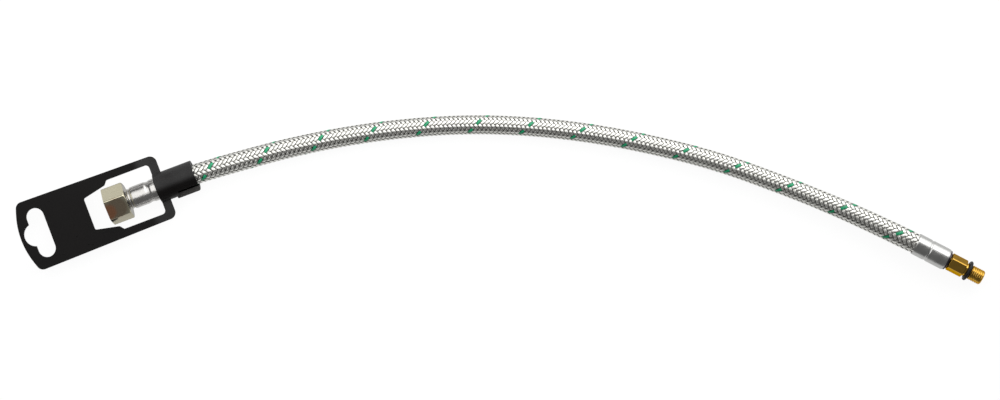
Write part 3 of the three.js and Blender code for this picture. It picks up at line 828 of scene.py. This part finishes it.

# Tap end tail: turned from hexagonal brass bar and left bright, with one flat painted darker as
# painted shade. It has a hexagon to hold it by, a groove for the O-ring, a threaded shank and a
# spigot that is pushed into the hose.

TAP_ACROSS_FLATS = 11
TAP_ROLL = math.radians(10)
TAP_EDGE_SOFTNESS = 0.55
HEXAGON_OUTSIDE = 4.95           # the radius and the lengths where the flats are
HEXAGON_REACH = (0.2, 11.5)
TAP_THREAD_RADIUS = 4.9
TAP_THREAD_START = 15.4
TAP_THREAD_PITCH = 1.35
TAP_THREAD_DEPTH = 0.6
TAP_TAIL_MESH_STEP = 0.2
TAP_TAIL_SIDES = 168
SHADED_FLAT = 0.139                # the middle of the flat painted darker as shade, in turns from the top
SHADED_FLAT_FADE = (0.078, 0.066)       # turns to its sides between which the painted shade fades in
SHADED_FLAT_END = 11.2
BRASS_DEEP = (0.38, 0.215, 0.028, 1)
BRASS_BRIGHT = (0.56, 0.335, 0.07, 1)
BRASS_SHADE_DARK = (0.20, 0.11, 0.02, 1)
BRASS_SHADE_PALE = (0.36, 0.215, 0.045, 1)

tap_tail_profile = [
    (-22.8, SPIGOT_BORE, 0.1),
    (-22.8, 3.7, 0.1),
    (-22.0, SPIGOT_RADIUS, 0.1),
    (-0.9, 4.2, 0),
    (-0.8, 4.55, 0.1),
    (0.3, 4.55, 0),
    (0.3, 5.4, 0.1),
    (0.7, 6.15, 0),
    (11.0, 6.15, 0),
    (11.4, 5.4, 0.1),
    (11.4, 4.35, 0.1),
    (15.3, 4.35, 0.1),
    (15.8, TAP_THREAD_RADIUS, 0.15),
    (23.8, TAP_THREAD_RADIUS, 0.1),
    (24.5, 4.2, 0.15),
    (24.5, 3.2, 0.15),
    (24.0, SPIGOT_BORE, 0),
]


def tap_tail_shape(x, radius, angle):
    """Leaves the bar's flats on the hexagon and cuts the shank's thread."""
    flats = hexagon_radius(angle, TAP_ACROSS_FLATS, TAP_ROLL)
    on_hexagon = (radius > HEXAGON_OUTSIDE) & (x > HEXAGON_REACH[0]) & (x < HEXAGON_REACH[1])
    shaped = np.where(on_hexagon, lesser(radius, flats, TAP_EDGE_SOFTNESS), radius)
    on_thread = (radius > 4.5) & (x > TAP_THREAD_START)
    cut = thread_depth(x, angle, TAP_THREAD_PITCH) * TAP_THREAD_DEPTH
    return np.where(on_thread, np.minimum(radius, TAP_THREAD_RADIUS - cut), shaped)


tap_tail_piece = turned_piece(
    "brass_tail",
    filled_in(eased(tap_tail_profile), TAP_TAIL_MESH_STEP),
    tap_ferrule_back,
    tap_direction,
    tap_tail_shape,
    TAP_TAIL_SIDES,
)
bright_brass = Finish("bright_brass", Metallic=1.0)
brass_cloud = bright_brass.noise(scale=260, detail=3)
brass_marks = bright_brass.noise(scale=2600, detail=2)
brass_turn, brass_x = bright_brass.lay()
# one flat of the hexagon is painted darker, as painted shade
from_shaded_flat = bright_brass.math(
    "ABSOLUTE", bright_brass.math("SUBTRACT", brass_turn, SHADED_FLAT)
)
brass_flat_shade = bright_brass.math(
    "MULTIPLY",
    bright_brass.fade(from_shaded_flat, *SHADED_FLAT_FADE),
    bright_brass.math("LESS_THAN", brass_x, SHADED_FLAT_END),
)
tap_tail_piece.data.materials.append(bright_brass.surface(
    Base_Color=bright_brass.blend(
        brass_flat_shade,
        bright_brass.blend(brass_cloud, BRASS_DEEP, BRASS_BRIGHT),
        bright_brass.blend(brass_cloud, BRASS_SHADE_DARK, BRASS_SHADE_PALE),
    ),
    Specular_Tint=(0.7, 0.5, 0.22, 1),
    Roughness=bright_brass.between(brass_cloud, low=0.08, high=0.16),
    Normal=bright_brass.bump(brass_marks, distance=0.000004, strength=0.4),
))
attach(tap_tail_piece, "hose_assembly")
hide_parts("tap_end_tail")

# O-ring: moulded black rubber, stretched into the tail's groove against the thread. A faint
# parting line runs round its outside.

RING_PLACE = 13.9
RING_MIDDLE_RADIUS = 5.75
RING_CORD_RADIUS = 1.1
RING_CORD_SIDES = 24
RING_SIDES = 128
PARTING_LINE = 0.03
RING_BLACK = (0.006, 0.006, 0.006, 1)
RING_GREY = (0.012, 0.012, 0.012, 1)

ring_profile = []
for step in range(RING_CORD_SIDES):
    turn = 2 * math.pi * step / RING_CORD_SIDES
    seam = PARTING_LINE if step == RING_CORD_SIDES // 4 else 0
    ring_profile.append((
        RING_PLACE + RING_CORD_RADIUS * math.cos(turn),
        RING_MIDDLE_RADIUS + (RING_CORD_RADIUS + seam) * math.sin(turn),
    ))
o_ring_piece = turned_piece(
    "rubber_o_ring",
    np.array(ring_profile)[::-1],
    tap_ferrule_back,
    tap_direction,
    None,
    RING_SIDES,
)
ring_rubber = Finish("ring_rubber", Roughness=0.42, Specular_IOR_Level=0.2)
ring_bloom = ring_rubber.noise(scale=900, detail=3)
o_ring_piece.data.materials.append(ring_rubber.surface(
    Base_Color=ring_rubber.blend(ring_bloom, RING_BLACK, RING_GREY),
    Roughness=ring_rubber.between(ring_bloom, low=0.35, high=0.5),
    Normal=ring_rubber.bump(ring_bloom, distance=0.00002, strength=0.4),
))
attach(o_ring_piece, "hose_assembly")
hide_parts("o_ring")

# Hanging tag: moulded in one from black plastic, with a slot for a display peg, a window that
# frames the nut, and a slit collar that is sprung on to the hose and turns on the ferrule. Its
# bar below the collar and the collar's upper side are painted lighter grey, as a painted
# highlight.

TAG_THICKNESS = 2.0
TAG_EDGE = 0.3                   # the rounding of the mould's edges
TAG_NOSE_REACH = 60.5
TAG_NOSE_RADIUS = 54
TAG_NOSE_HALF_WIDTH = 23.5
TAG_BAR_START = 34.8
TAG_BAR_END = 40.7
TAG_BAR_HALF = 21.7
TAG_CORNER = 4.5
WINDOW_HALF = 17.0
WINDOW_NARROW_HALF = 14.2
WINDOW_NOSE_HALF = 10.8
WINDOW_REACH = 12.7
WINDOW_SHOULDER = 3.1
WINDOW_JOG = 5.4
SLOT_START = -52.4
SLOT_END = -40.8
SLOT_HALF = 16.75
SLOT_BUMP_RADIUS = 7.6
SLOT_BUMP_REACH = 5.6
COLLAR_BORE = 7.72
COLLAR_RADIUS = 9.72
COLLAR_LENGTH = 26.7
TAB_START = 45.6
TAB_REACH = 10.9
MOUTH_START = 47.4
MOUTH_EDGE = 6.7
TAB_RIBS = 9
RIB_EDGE = 0.08
RIB_HEIGHTS = (-0.2, 0.18)       # of a rib's foot and top, from the tag's face
PIP_RADIUS = 0.5
PIP_EDGE = 0.15
PIP_HEIGHTS = (-0.3, 0.22)
MOULD_PIPS = [(-25.4, -10.5), (-19.9, -18.1), (-17.3, -19.1), (-37.6, -18.5), (-34.5, 17.6)]
NOSE_STEPS = 16
BUMP_STEPS = 24
FILLET_STEPS = 8
NEARLY_FLAT = 1.5                # half of a corner's angle, past which it isn't rounded
SHARP_FROM = math.radians(40)
WELD_REACH = 0.001
SHEEN_START = (24, 30)           # along the tag, between which the painted highlight fades in
SHEEN_UPPER = (-3.5, 1)          # across it, between which it fades in again on the collar
SHEEN_LOWER = -8.4               # and below which the bar is painted lighter
TAG_BLACK = (0.0035, 0.003, 0.003, 1)
TAG_SOFT_BLACK = (0.0065, 0.0058, 0.0056, 1)
SHEEN_DARK = (0.010, 0.0098, 0.0098, 1)
SHEEN_PALE = (0.036, 0.0355, 0.0355, 1)
TAB_SHEEN_GREY = (0.045, 0.043, 0.041, 1)
tag_face = TAG_THICKNESS / 2
collar_tip = TAG_BAR_START + COLLAR_LENGTH


def filleted(corners):
    """A closed outline of (x, y, radius) corners, each rounded by an arc."""
    outline = []
    for index, (x, y, radius) in enumerate(corners):
        corner = Vector((x, y))
        back = (Vector(corners[index - 1][:2]) - corner).normalized()
        ahead = (Vector(corners[(index + 1) % len(corners)][:2]) - corner).normalized()
        half = back.angle(ahead) / 2
        if radius == 0 or half > NEARLY_FLAT:
            outline.append(tuple(corner))
            continue
        centre = corner + (back + ahead).normalized() * radius / math.sin(half)
        first = corner + back * radius / math.tan(half) - centre
        last = corner + ahead * radius / math.tan(half) - centre
        for step in range(FILLET_STEPS + 1):
            towards = first.lerp(last, step / FILLET_STEPS).normalized()
            outline.append(tuple(centre + towards * radius))
    return outline


def moulding(name, outlines, low, high, edge):
    """A plate of these outlines from the low to the high level, with its edges rounded."""
    curve = bpy.data.curves.new(name, "CURVE")
    curve.dimensions = "2D"
    curve.fill_mode = "BOTH"
    curve.extrude = (high - low) / 2 - edge
    curve.bevel_depth = edge
    curve.bevel_resolution = 2
    curve.offset = -edge
    for outline in outlines:
        spline = curve.splines.new("POLY")
        spline.points.add(len(outline) - 1)
        for point, (x, y) in zip(spline.points, outline):
            point.co = (x, y, 0, 1)
        spline.use_cyclic_u = True
    drawn = bpy.data.objects.new(name, curve)
    mesh = bpy.data.meshes.new_from_object(drawn)
    bpy.data.objects.remove(drawn)
    mesh.transform(Matrix.Translation((0, 0, (low + high) / 2)))
    solid = bpy.data.objects.new(name, mesh)
    bpy.context.collection.objects.link(solid)
    return solid


def join_cut(whole, part, operation):
    """Joins the part to the whole or cuts it away, and takes the part out of the scene."""
    weld = part.modifiers.new("weld", "WELD")
    weld.merge_threshold = WELD_REACH
    bpy.context.view_layer.update()
    boolean = whole.modifiers.new("boolean", "BOOLEAN")
    boolean.operation = operation
    boolean.solver = "EXACT"
    boolean.object = part
    worked_out = whole.evaluated_get(bpy.context.evaluated_depsgraph_get())
    result = bpy.data.meshes.new_from_object(worked_out)
    whole.modifiers.clear()
    whole.data = result
    bpy.data.objects.remove(part)


nose_centre = TAG_NOSE_RADIUS - TAG_NOSE_REACH
nose_side = TAG_NOSE_HALF_WIDTH - 1
nose_corner = nose_centre - math.sqrt(TAG_NOSE_RADIUS ** 2 - nose_side ** 2)
tag_corners = [
    (TAG_BAR_END, -TAG_BAR_HALF, TAG_CORNER),
    (TAG_BAR_END, TAG_BAR_HALF, TAG_CORNER),
    (nose_corner, TAG_NOSE_HALF_WIDTH, TAG_CORNER),
]
for step in range(2, NOSE_STEPS - 1):
    y = nose_side * (1 - 2 * step / NOSE_STEPS)
    tag_corners.append((nose_centre - math.sqrt(TAG_NOSE_RADIUS ** 2 - y ** 2), y, 0))
tag_corners.append((nose_corner, -TAG_NOSE_HALF_WIDTH, TAG_CORNER))
window_corners = [
    (TAG_BAR_START, -WINDOW_HALF, 2.5),
    (TAG_BAR_START, WINDOW_HALF, 2.5),
    (WINDOW_JOG, WINDOW_HALF, 1.2),
    (WINDOW_SHOULDER, WINDOW_NARROW_HALF, 1.2),
    (-WINDOW_REACH, WINDOW_NOSE_HALF, 1.25),
    (-WINDOW_REACH, -WINDOW_NOSE_HALF, 1.25),
    (WINDOW_SHOULDER, -WINDOW_NARROW_HALF, 1.2),
    (WINDOW_JOG, -WINDOW_HALF, 1.2),
]
slot_radius = (SLOT_END - SLOT_START) / 2 - 0.01  # so that the corners' arcs don't quite meet
bump_centre = SLOT_START - SLOT_BUMP_REACH + SLOT_BUMP_RADIUS
bump_turn = math.acos((bump_centre - SLOT_START) / SLOT_BUMP_RADIUS)
slot_corners = [
    (SLOT_START, -SLOT_HALF, slot_radius),
    (SLOT_END, -SLOT_HALF, slot_radius),
    (SLOT_END, SLOT_HALF, slot_radius),
    (SLOT_START, SLOT_HALF, slot_radius),
]
for step in range(BUMP_STEPS + 1):
    turn = bump_turn * (1 - 2 * step / BUMP_STEPS)
    slot_corners.append((
        bump_centre - SLOT_BUMP_RADIUS * math.cos(turn), SLOT_BUMP_RADIUS * math.sin(turn), 0
    ))
tag_piece = moulding(
    "moulded_tag",
    [filleted(tag_corners), filleted(window_corners), filleted(slot_corners)],
    -tag_face,
    tag_face,
    TAG_EDGE,
)
weld = tag_piece.modifiers.new("weld", "WELD")
weld.merge_threshold = WELD_REACH


def round_outline(radius, x=0.0, y=0.0, sides=96):
    """A circle's outline, for the collar and its bore, and for the moulding pips."""
    turns = [2 * math.pi * side / sides for side in range(sides)]
    return [(x + radius * math.cos(turn), y + radius * math.sin(turn)) for turn in turns]


# the collar's outlines are drawn looking along it, and then turned to lie along the nut's axis
collar_turn = Matrix(((0, 0, 1, 0), (1, 0, 0, 0), (0, 1, 0, 0), (0, 0, 0, 1)))
collar = moulding("collar", [round_outline(COLLAR_RADIUS)], TAG_BAR_START, collar_tip, TAG_EDGE)
collar.data.transform(collar_turn)
join_cut(tag_piece, collar, "UNION")
tab_outline = filleted([
    (TAB_START, -TAB_REACH, 0.5),
    (collar_tip, -TAB_REACH, 1.4),
    (collar_tip, -COLLAR_BORE + 0.5, 0.4),
    (TAB_START, -COLLAR_BORE + 0.5, 0.4),
])
tab = moulding("tab", [tab_outline], -tag_face, tag_face, TAG_EDGE)
join_cut(tag_piece, tab, "UNION")
bore = moulding("bore", [round_outline(COLLAR_BORE)], TAG_BAR_START - 1, collar_tip + 1, 0)
bore.data.transform(collar_turn)
join_cut(tag_piece, bore, "DIFFERENCE")
mouth_outline = [
    (MOUTH_START, -TAB_REACH - 1),
    (collar_tip + 1, -TAB_REACH - 1),
    (collar_tip + 1, -MOUTH_EDGE),
    (MOUTH_START, -MOUTH_EDGE),
]
mouth = moulding("mouth", [mouth_outline], tag_face, COLLAR_RADIUS + 1, 0)
join_cut(tag_piece, mouth, "DIFFERENCE")
rib_step = (collar_tip - MOUTH_START - 1) / TAB_RIBS
rib_outlines = []
for rib in range(TAB_RIBS):
    x = MOUTH_START + 0.5 + rib * rib_step
    rib_outlines.append([
        (x, -TAB_REACH + 0.5),
        (x + rib_step / 2, -TAB_REACH + 0.5),
        (x + rib_step / 2, -COLLAR_BORE - 0.2),
        (x, -COLLAR_BORE - 0.2),
    ])
ribs = moulding(
    "ribs", rib_outlines, tag_face + RIB_HEIGHTS[0], tag_face + RIB_HEIGHTS[1], RIB_EDGE
)
join_cut(tag_piece, ribs, "UNION")
pip_outlines = [round_outline(PIP_RADIUS, x, y, 12) for x, y in MOULD_PIPS]
pips = moulding(
    "pips", pip_outlines, tag_face + PIP_HEIGHTS[0], tag_face + PIP_HEIGHTS[1], PIP_EDGE
)
join_cut(tag_piece, pips, "UNION")

tag_piece.data.transform(Matrix.Translation(nut_place) @ Matrix.Scale(MM, 4))
tag_piece.data.polygons.foreach_set("use_smooth", [True] * len(tag_piece.data.polygons))
tag_piece.data.set_sharp_from_angle(angle=SHARP_FROM)
even = tag_piece.modifiers.new("even", "WEIGHTED_NORMAL")
even.keep_sharp = True

tag_plastic = Finish("tag_plastic", Roughness=0.42, Specular_IOR_Level=0.07)
plastic_grain = tag_plastic.noise(scale=1400, detail=3)
plastic_cloud = tag_plastic.noise(scale=60, detail=3)
tag_x, tag_y, tag_z = tag_plastic.place_parts()
# the tab's top is painted lighter grey, as a painted sheen of its ribbed face
past_bar = tag_plastic.math("GREATER_THAN", tag_x, nut_mouth_x + (TAB_START - 0.2) * MM)
beside_collar = tag_plastic.math("LESS_THAN", tag_y, nut_axis_y - (COLLAR_BORE - 0.5) * MM)
below_top = tag_plastic.math("LESS_THAN", tag_z, nut_axis_z + 1.5 * MM)
on_tab = tag_plastic.math(
    "MULTIPLY", tag_plastic.math("MULTIPLY", past_bar, beside_collar), below_top
)
# the bar and the collar's upper side are painted lighter grey, as a painted highlight
along_sheen = tag_plastic.fade(tag_x, *[nut_mouth_x + x * MM for x in SHEEN_START])
upper_collar = tag_plastic.fade(tag_y, *[nut_axis_y + y * MM for y in SHEEN_UPPER])
lower_bar = tag_plastic.math("LESS_THAN", tag_y, nut_axis_y + SHEEN_LOWER * MM)
painted_sheen = tag_plastic.math(
    "MULTIPLY", along_sheen, tag_plastic.math("MAXIMUM", upper_collar, lower_bar)
)
clean_black = tag_plastic.blend(plastic_cloud, TAG_BLACK, TAG_SOFT_BLACK)
sheened_black = tag_plastic.blend(plastic_cloud, SHEEN_DARK, SHEEN_PALE)
moulded_black = tag_plastic.blend(painted_sheen, clean_black, sheened_black)
tag_material = tag_plastic.surface(
    Base_Color=tag_plastic.blend(on_tab, moulded_black, TAB_SHEEN_GREY),
    Roughness=tag_plastic.between(plastic_cloud, low=0.36, high=0.5),
    Normal=tag_plastic.bump(plastic_grain, distance=0.00003, strength=0.35),
)
tag_piece.data.materials.clear()
tag_piece.data.materials.append(tag_material)
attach(tag_piece, "tag")
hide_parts("hanging_tag")

# Table and light. The table is covered with white paper. A large soft box hangs low over it,
# beyond the connector, with its near edge aslant. The room is dim but for one bright window.

TABLE_HALF = 30
PAPER_GLOW = 0.93
PAPER_SHADE = 0.09               # the part of the seen paper that takes light and shadow
PAPER_MATT = 0.8                 # the paper's colour as it lights the connector
SOFT_BOX_HEIGHT = 0.5
SOFT_BOX_SIZE = (1.5, 0.72)
SOFT_BOX_SHIFT = 0.25            # of its middle along its near edge, to the right
SOFT_BOX_EDGE = (0, 0.03)        # a point of its near edge in the picture, from the middle
SOFT_BOX_TURN = math.radians(27)
SOFT_BOX_POWER = 6.9
ROOM_STRENGTH = 0.2
WINDOW_STRENGTH = 2.4
WINDOW_TURN = math.radians(52)   # from the picture's right, towards its top
WINDOW_EDGE = (0.55, 0.65)       # the cosines from its middle between which it fades in

table_mesh = bpy.data.meshes.new("table_top")
table_corners = [(-1, -1), (1, -1), (1, 1), (-1, 1)]
table_mesh.from_pydata(
    [(x * TABLE_HALF, y * TABLE_HALF, 0) for x, y in table_corners], [], [(0, 1, 2, 3)]
)
table_top = bpy.data.objects.new("table_top", table_mesh)
bpy.context.collection.objects.link(table_top)
paper = Finish("table_paper")
paper.nodes.clear()
matt = paper.add("ShaderNodeBsdfDiffuse", Color=(PAPER_MATT, PAPER_MATT, PAPER_MATT, 1))
shaded = paper.add("ShaderNodeBsdfDiffuse", Color=(PAPER_SHADE, PAPER_SHADE, PAPER_SHADE, 1))
glow = paper.add("ShaderNodeEmission", Strength=PAPER_GLOW)
white = paper.add("ShaderNodeAddShader", _0=shaded.outputs[0], _1=glow.outputs[0])
rays = paper.add("ShaderNodeLightPath").outputs
seen = paper.math("MAXIMUM", rays["Is Camera Ray"], rays["Is Glossy Ray"])
seen = paper.math("MAXIMUM", seen, rays["Is Transmission Ray"])
either = paper.add("ShaderNodeMixShader", _0=seen, _1=matt.outputs[0], _2=white.outputs[0])
paper.add("ShaderNodeOutputMaterial", Surface=either.outputs[0])
table_mesh.materials.append(paper.material)

picture_right = Vector((math.cos(VIEW_TURN), math.sin(VIEW_TURN), 0))
picture_up = Vector((-math.sin(VIEW_TURN), math.cos(VIEW_TURN), 0))
box_across = Vector((-math.sin(SOFT_BOX_TURN), math.cos(SOFT_BOX_TURN)))
box_along = Vector((math.cos(SOFT_BOX_TURN), math.sin(SOFT_BOX_TURN)))
box_middle = Vector(SOFT_BOX_EDGE) + box_across * SOFT_BOX_SIZE[1] / 2
box_middle += box_along * SOFT_BOX_SHIFT
soft_box_data = bpy.data.lights.new("soft_box", "AREA")
soft_box_data.shape = "RECTANGLE"
soft_box_data.size = SOFT_BOX_SIZE[0]
soft_box_data.size_y = SOFT_BOX_SIZE[1]
soft_box_data.energy = SOFT_BOX_POWER
soft_box = bpy.data.objects.new("soft_box", soft_box_data)
soft_box.rotation_euler = (0, 0, VIEW_TURN + SOFT_BOX_TURN)
soft_box.location = (
    Vector((table_camera.location.x, table_camera.location.y, SOFT_BOX_HEIGHT))
    + picture_right * box_middle.x
    + picture_up * box_middle.y
)
soft_box.visible_camera = False
bpy.context.collection.objects.link(soft_box)

room = bpy.data.worlds.new("room")
bpy.context.scene.world = room
room.use_nodes = True
room_nodes = room.node_tree.nodes
room_links = room.node_tree.links
window_middle = picture_right * math.cos(WINDOW_TURN) + picture_up * math.sin(WINDOW_TURN)
room_place = room_nodes.new("ShaderNodeTexCoord")
towards_window = room_nodes.new("ShaderNodeVectorMath")
towards_window.operation = "DOT_PRODUCT"
towards_window.inputs[1].default_value = window_middle
room_links.new(room_place.outputs["Generated"], towards_window.inputs[0])
window_light = room_nodes.new("ShaderNodeMapRange")
window_light.interpolation_type = "SMOOTHSTEP"
window_light.inputs["From Min"].default_value = WINDOW_EDGE[0]
window_light.inputs["From Max"].default_value = WINDOW_EDGE[1]
window_light.inputs["To Min"].default_value = ROOM_STRENGTH
window_light.inputs["To Max"].default_value = WINDOW_STRENGTH
room_links.new(towards_window.outputs["Value"], window_light.inputs["Value"])
room_background = room_nodes["Background"]
room_background.inputs["Color"].default_value = (1, 1, 1, 1)
room_links.new(window_light.outputs["Result"], room_background.inputs["Strength"])
